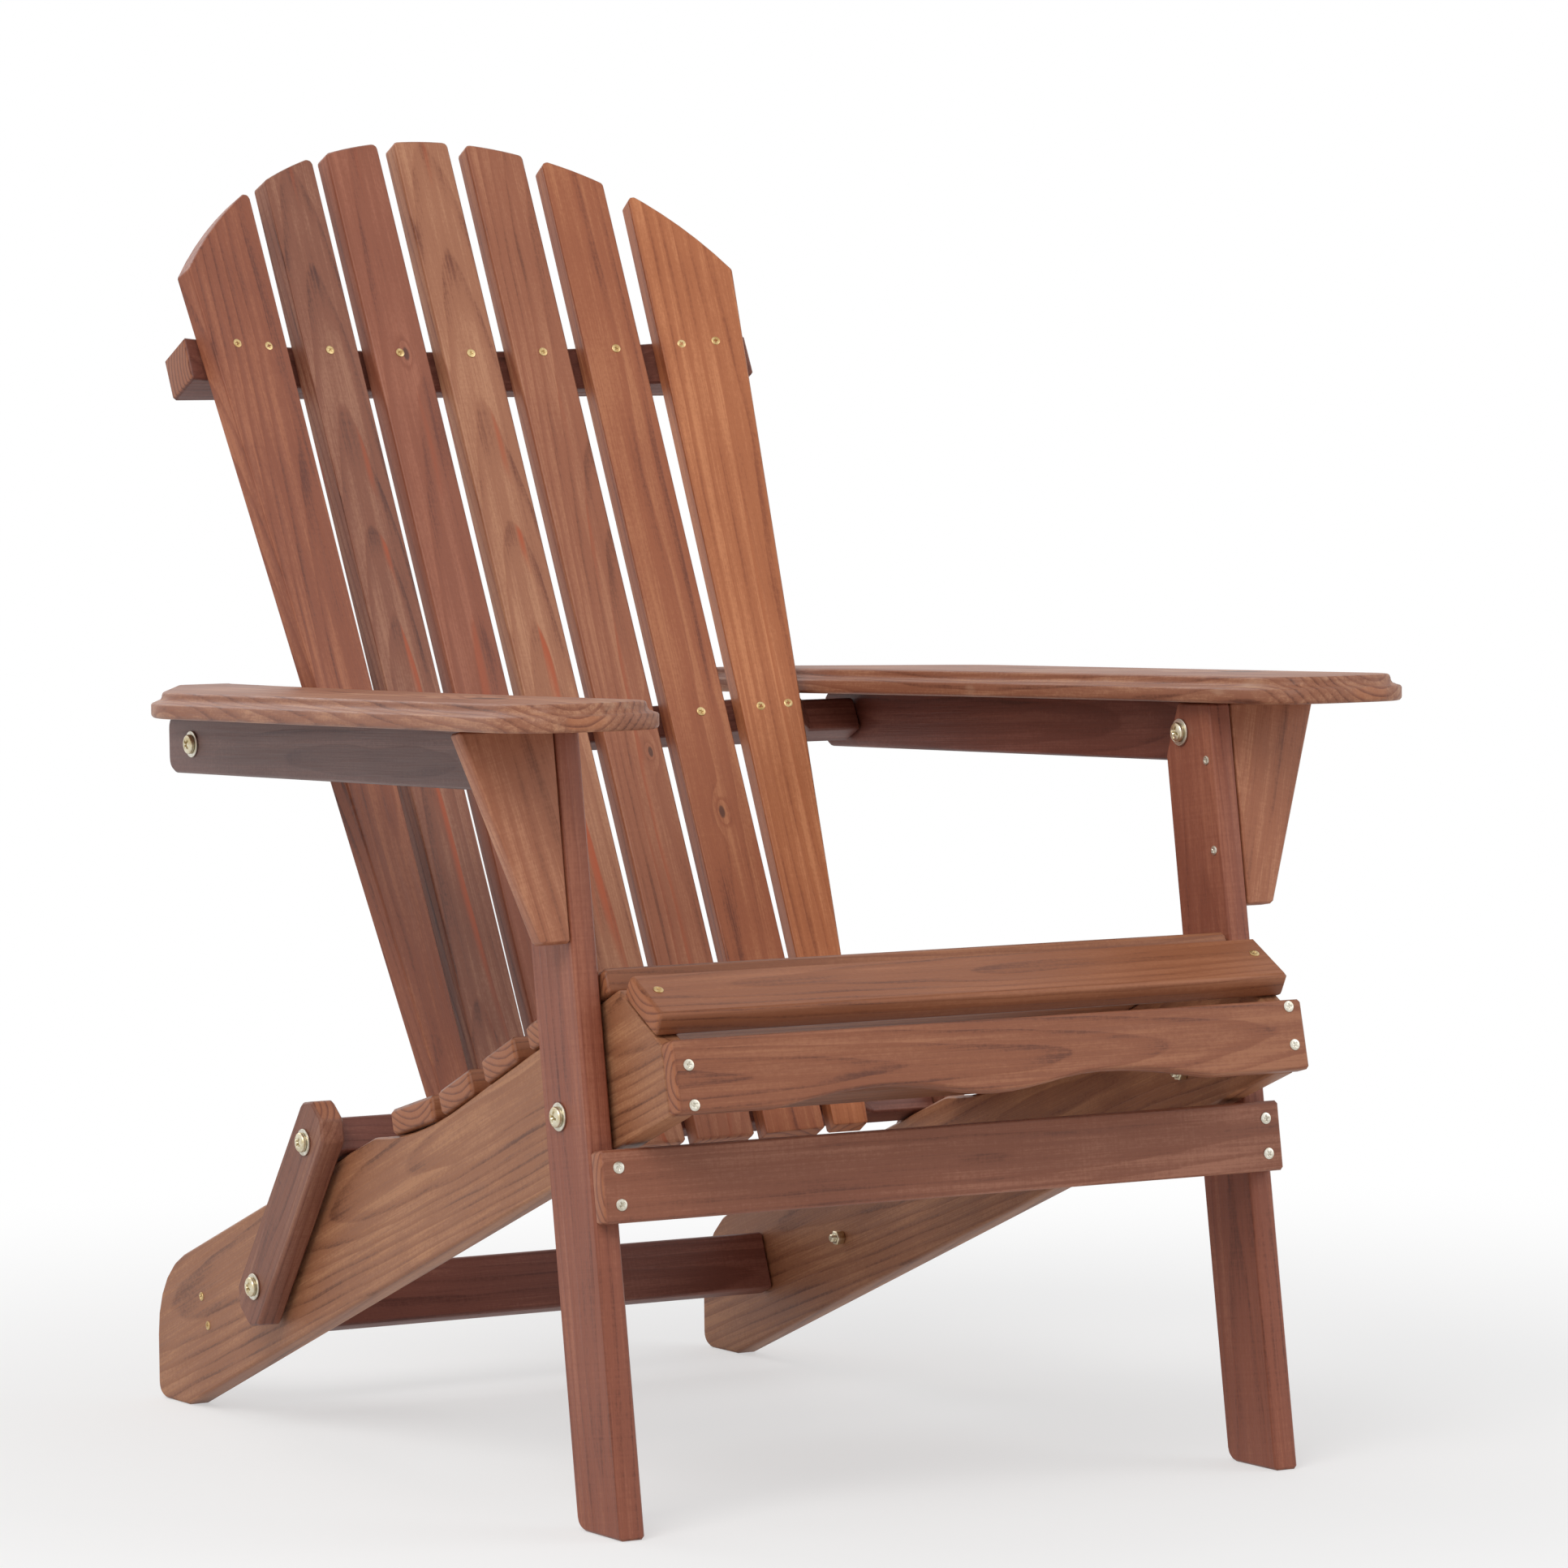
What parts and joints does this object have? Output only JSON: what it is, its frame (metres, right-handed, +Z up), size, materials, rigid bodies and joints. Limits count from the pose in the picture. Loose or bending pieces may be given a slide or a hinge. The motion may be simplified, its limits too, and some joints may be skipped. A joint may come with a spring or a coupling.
{
  "type": "adirondack chair",
  "caption": "Folding adirondack garden chair in stained softwood, with a fanned slat back, sloped slat seat, broad arms and bolted folding linkage.",
  "frame": {"origin": "middle of the bounding box's footprint, on the floor", "axes": "+X to the sitter's left, -Y the way the sitter faces, +Z up"},
  "size_m": [0.7212, 0.866, 0.9665],
  "materials": {
    "red_stained_wood": "reddish stain with a satin sheen, fine saw marks",
    "brown_stained_wood": "red-brown stain with a satin sheen over swirling softwood grain",
    "gold_zinc": "yellow-passivated zinc",
    "zinc": "plain zinc"
  },
  "bodies": {
    "leg_frame": {"arm_bracket_left": "red_stained_wood", "arm_bracket_right": "red_stained_wood", "bolt_arm_front_left": "gold_zinc", "bolt_arm_front_right": "gold_zinc", "cross_rail": "red_stained_wood", "front_leg_left": "red_stained_wood", "front_leg_right": "red_stained_wood", "washer_arm_front_left": "zinc", "washer_arm_front_right": "zinc"},
    "arm_pair": {"arm_left": "brown_stained_wood", "arm_rail_left": "red_stained_wood", "arm_rail_right": "red_stained_wood", "arm_right": "brown_stained_wood"},
    "chair_back": {"back_slat_1": "brown_stained_wood", "back_slat_2": "brown_stained_wood", "back_slat_3": "brown_stained_wood", "back_slat_4": "brown_stained_wood", "back_slat_5": "brown_stained_wood", "back_slat_6": "brown_stained_wood", "back_slat_7": "brown_stained_wood", "bolt_arm_rear_left": "gold_zinc", "bolt_arm_rear_right": "gold_zinc", "bolt_back_foot_left": "gold_zinc", "bolt_back_foot_right": "gold_zinc", "bottom_rail": "red_stained_wood", "mid_batten": "red_stained_wood", "upper_batten": "red_stained_wood", "washer_arm_rear_left": "zinc", "washer_arm_rear_right": "zinc", "washer_back_foot_left": "zinc", "washer_back_foot_right": "zinc"},
    "seat_frame": {"bolt_link_foot_left": "gold_zinc", "bolt_link_foot_right": "gold_zinc", "bolt_seat_pivot_left": "gold_zinc", "bolt_seat_pivot_right": "gold_zinc", "front_apron": "brown_stained_wood", "lock_nut_link_foot_left": "gold_zinc", "lock_nut_link_foot_right": "gold_zinc", "lock_nut_seat_pivot_left": "gold_zinc", "lock_nut_seat_pivot_right": "gold_zinc", "rear_stretcher": "brown_stained_wood", "seat_slat_1": "brown_stained_wood", "seat_slat_2": "brown_stained_wood", "seat_slat_3": "brown_stained_wood", "seat_slat_4": "brown_stained_wood", "seat_slat_5": "brown_stained_wood", "seat_slat_6": "brown_stained_wood", "spacer_link_foot_left": "zinc", "spacer_link_foot_right": "zinc", "spacer_seat_pivot_left": "zinc", "spacer_seat_pivot_right": "zinc", "stringer_left": "brown_stained_wood", "stringer_right": "brown_stained_wood", "washer_link_foot_left": "zinc", "washer_link_foot_right": "zinc", "washer_seat_pivot_left": "zinc", "washer_seat_pivot_right": "zinc"},
    "link_pair": {"link_left": "red_stained_wood", "link_right": "red_stained_wood"}
  },
  "joints": [
    {"name": "link_swing", "type": "hinge", "parent": "seat_frame", "child": "link_pair", "pos_m": [0, 0.17732, 0.1107], "axis": [1, 0, 0], "range_deg": [-60, 0]},
    {"name": "leg_fold", "type": "hinge", "parent": "seat_frame", "child": "leg_frame", "pos_m": [0, -0.30523, 0.27832], "axis": [1, 0, 0], "range_deg": [0, 80]},
    {"name": "back_fold", "type": "hinge", "parent": "link_pair", "child": "chair_back", "pos_m": [0, 0.08882, 0.2258], "axis": [1, 0, 0], "range_deg": [0, 146]},
    {"name": "arm_swing", "type": "hinge", "parent": "chair_back", "child": "arm_pair", "pos_m": [0, 0.2267, 0.51102], "axis": [1, 0, 0], "range_deg": [-79.67, 0]}
  ],
  "couplings": [
    {"joint": "leg_fold", "follows": "link_swing", "ratio": -1.3333},
    {"joint": "back_fold", "follows": "link_swing", "ratio": -2.4333},
    {"joint": "arm_swing", "follows": "link_swing", "ratio": 1.3278}
  ]
}
